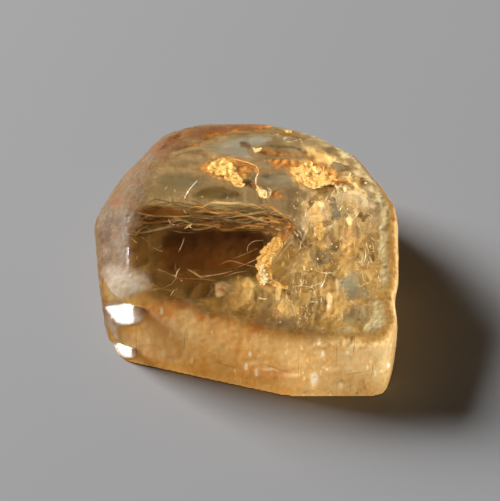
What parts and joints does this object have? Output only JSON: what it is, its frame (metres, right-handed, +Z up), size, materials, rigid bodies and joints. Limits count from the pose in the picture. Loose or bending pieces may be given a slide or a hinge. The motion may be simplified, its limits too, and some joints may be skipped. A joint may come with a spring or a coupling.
{
  "type": "imperial topaz crystal",
  "caption": "Rough golden-orange topaz crystal, a short piece of a prism with worn edges, a glossy split top and a frosted striated front; it rests on its flat split base.",
  "frame": {"origin": "centre of the stone's outline seen from above, on the plane that the stone rests on", "axes": "+Z up; the frosted striated prism face looks towards -Y; +X is to the right when that face is seen from the front"},
  "size_m": [0.013, 0.0136, 0.0051],
  "materials": {
    "topaz": "clear orange-yellow crystal, glossy on its split top and finely frosted on its worn sides",
    "fracture": "golden glitter of healed fractures, needles and sparks sealed inside the crystal",
    "iron_stain": "brown and orange iron-stained filaments and films sealed inside the crystal"
  },
  "bodies": {
    "root": {"topaz_crystal": "topaz"}
  },
  "joints": []
}
